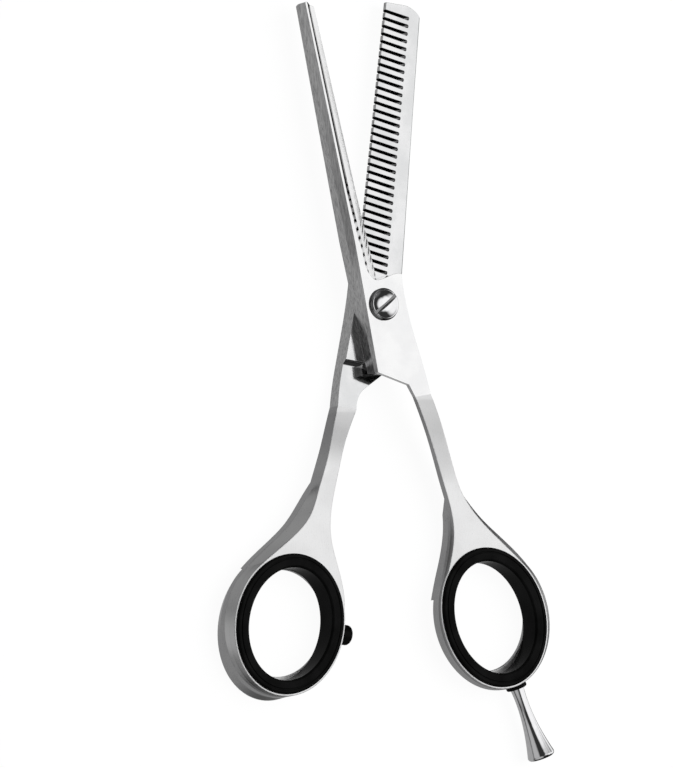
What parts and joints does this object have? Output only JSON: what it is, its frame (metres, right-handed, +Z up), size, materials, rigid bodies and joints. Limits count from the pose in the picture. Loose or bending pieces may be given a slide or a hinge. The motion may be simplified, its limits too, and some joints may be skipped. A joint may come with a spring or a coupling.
{
  "type": "thinning shears",
  "caption": "Hairdressing thinning shears, half open: a toothed comb blade crossing a plain blade on a domed pivot screw, rubber-lined finger rings, a bumper and a finger rest.",
  "frame": {"origin": "on the pivot axis, at the flat back of the nut insert, on the surface that the shears lie on", "axes": "+Z up along the pivot axis through the screw head, +Y towards the blade tips along the line halfway between the two halves, +X towards the ring with the finger rest"},
  "size_m": [0.0789, 0.1591, 0.0095],
  "materials": {
    "comb_steel": "mirror polished",
    "blade_steel": "mirror polished, with a satin spine",
    "handle_steel": "satin",
    "screw_chrome": "polished",
    "rest_chrome": "polished",
    "insert_rubber": "semi-gloss",
    "bumper_rubber": "semi-matt",
    "oring_rubber": "matt",
    "bush_brass": "turned",
    "spring_steel": "satin",
    "washer_steel": "polished",
    "nut_steel": "turned",
    "washer_plastic": "matt white"
  },
  "bodies": {
    "comb_half": {"comb_blade": "comb_steel", "comb_handle": "handle_steel", "comb_ring_insert": "insert_rubber", "bumper": "bumper_rubber", "nut_insert": "nut_steel", "friction_washer": "washer_plastic"},
    "solid_half": {"solid_blade": "blade_steel", "solid_handle": "handle_steel", "solid_ring_insert": "insert_rubber", "pivot_bush": "bush_brass", "spring_washer": "spring_steel", "head_washer": "washer_steel"},
    "tension_screw": {"pivot_screw": "screw_chrome"},
    "finger_rest": {"finger_rest": "rest_chrome", "finger_rest_ring": "oring_rubber"}
  },
  "joints": [
    {"name": "blade_pivot", "type": "hinge", "parent": "comb_half", "child": "solid_half", "pos_m": [0, 0, 0.006], "axis": [0, 0, 1], "range_deg": [-18, 62]},
    {"name": "tension_turn", "type": "hinge", "parent": "comb_half", "child": "tension_screw", "pos_m": [0, 0, 0.006], "axis": [0, 0, 1], "range_deg": [-90, 90]},
    {"name": "finger_rest_turn", "type": "hinge", "parent": "solid_half", "child": "finger_rest", "pos_m": [0.03079, -0.07895, 0.0029], "axis": [0.342, -0.9397, 0], "range_deg": [-180, 180]}
  ]
}
